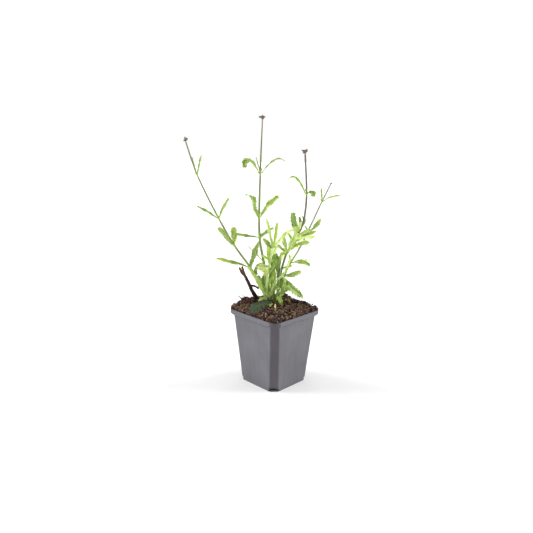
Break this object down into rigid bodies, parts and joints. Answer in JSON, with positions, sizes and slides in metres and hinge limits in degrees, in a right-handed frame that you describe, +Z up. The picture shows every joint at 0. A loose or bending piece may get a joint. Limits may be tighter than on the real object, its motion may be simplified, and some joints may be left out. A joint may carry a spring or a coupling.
{
  "type": "potted verbena",
  "caption": "Young verbena plant with thin flowering stems, toothed leaves and small dark bud heads, in a square grey nursery pot of soil.",
  "frame": {"origin": "middle of the flat underside of the pot, on the surface it stands on", "axes": "+Z up through the plant, +X and +Y square to the pot's side walls"},
  "size_m": [0.1113, 0.1802, 0.3483],
  "materials": {
    "pot_plastic": "matte",
    "soil": "matte",
    "dead_wood": "matte",
    "stem": "satin",
    "young_stem": "satin",
    "leaf": "satin",
    "old_leaf": "matte",
    "buds": "matte"
  },
  "bodies": {
    "root": {"dead_twig": "dead_wood", "head_centre": "buds", "head_far_right": "buds", "head_left": "buds", "head_right": "buds", "leaf_centre_foot": "leaf", "leaf_centre_low_left": "leaf", "leaf_centre_low_right": "leaf", "leaf_centre_middle_left": "leaf", "leaf_centre_middle_right": "leaf", "leaf_centre_top_left": "leaf", "leaf_centre_top_right": "leaf", "leaf_crown_back": "leaf", "leaf_crown_back_left": "leaf", "leaf_crown_back_right": "leaf", "leaf_crown_curled": "leaf", "leaf_crown_front_left": "leaf", "leaf_crown_front_right": "leaf", "leaf_crown_left": "leaf", "leaf_crown_upright": "leaf", "leaf_far_right_low": "leaf", "leaf_far_right_middle": "leaf", "leaf_far_right_top_left": "leaf", "leaf_far_right_top_right": "leaf", "leaf_left_foot_left": "leaf", "leaf_left_foot_right": "leaf", "leaf_left_low_left": "leaf", "leaf_left_low_right": "leaf", "leaf_left_middle_left": "leaf", "leaf_left_middle_right": "leaf", "leaf_left_top_left": "leaf", "leaf_left_top_right": "leaf", "leaf_old_on_soil": "old_leaf", "leaf_right_cluster_back": "leaf", "leaf_right_cluster_front": "leaf", "leaf_right_cluster_pale": "leaf", "leaf_right_cluster_upright": "leaf", "leaf_right_foot_front": "leaf", "leaf_right_foot_left": "leaf", "leaf_right_low_back": "leaf", "leaf_right_low_front": "leaf", "leaf_right_low_upright": "leaf", "leaf_right_top_left": "leaf", "leaf_right_top_right": "leaf", "leaf_side_tip_hanging": "leaf", "leaf_side_tip_right": "leaf", "leaf_young_low_back": "leaf", "leaf_young_low_front": "leaf", "leaf_young_tip_back": "leaf", "leaf_young_tip_front": "leaf", "leaf_young_tip_left": "leaf", "leaf_young_tip_right": "leaf", "pot": "pot_plastic", "soil": "soil", "stem_centre": "stem", "stem_far_right": "stem", "stem_left": "stem", "stem_right": "stem", "stem_side": "young_stem", "stem_young": "young_stem"}
  },
  "joints": []
}
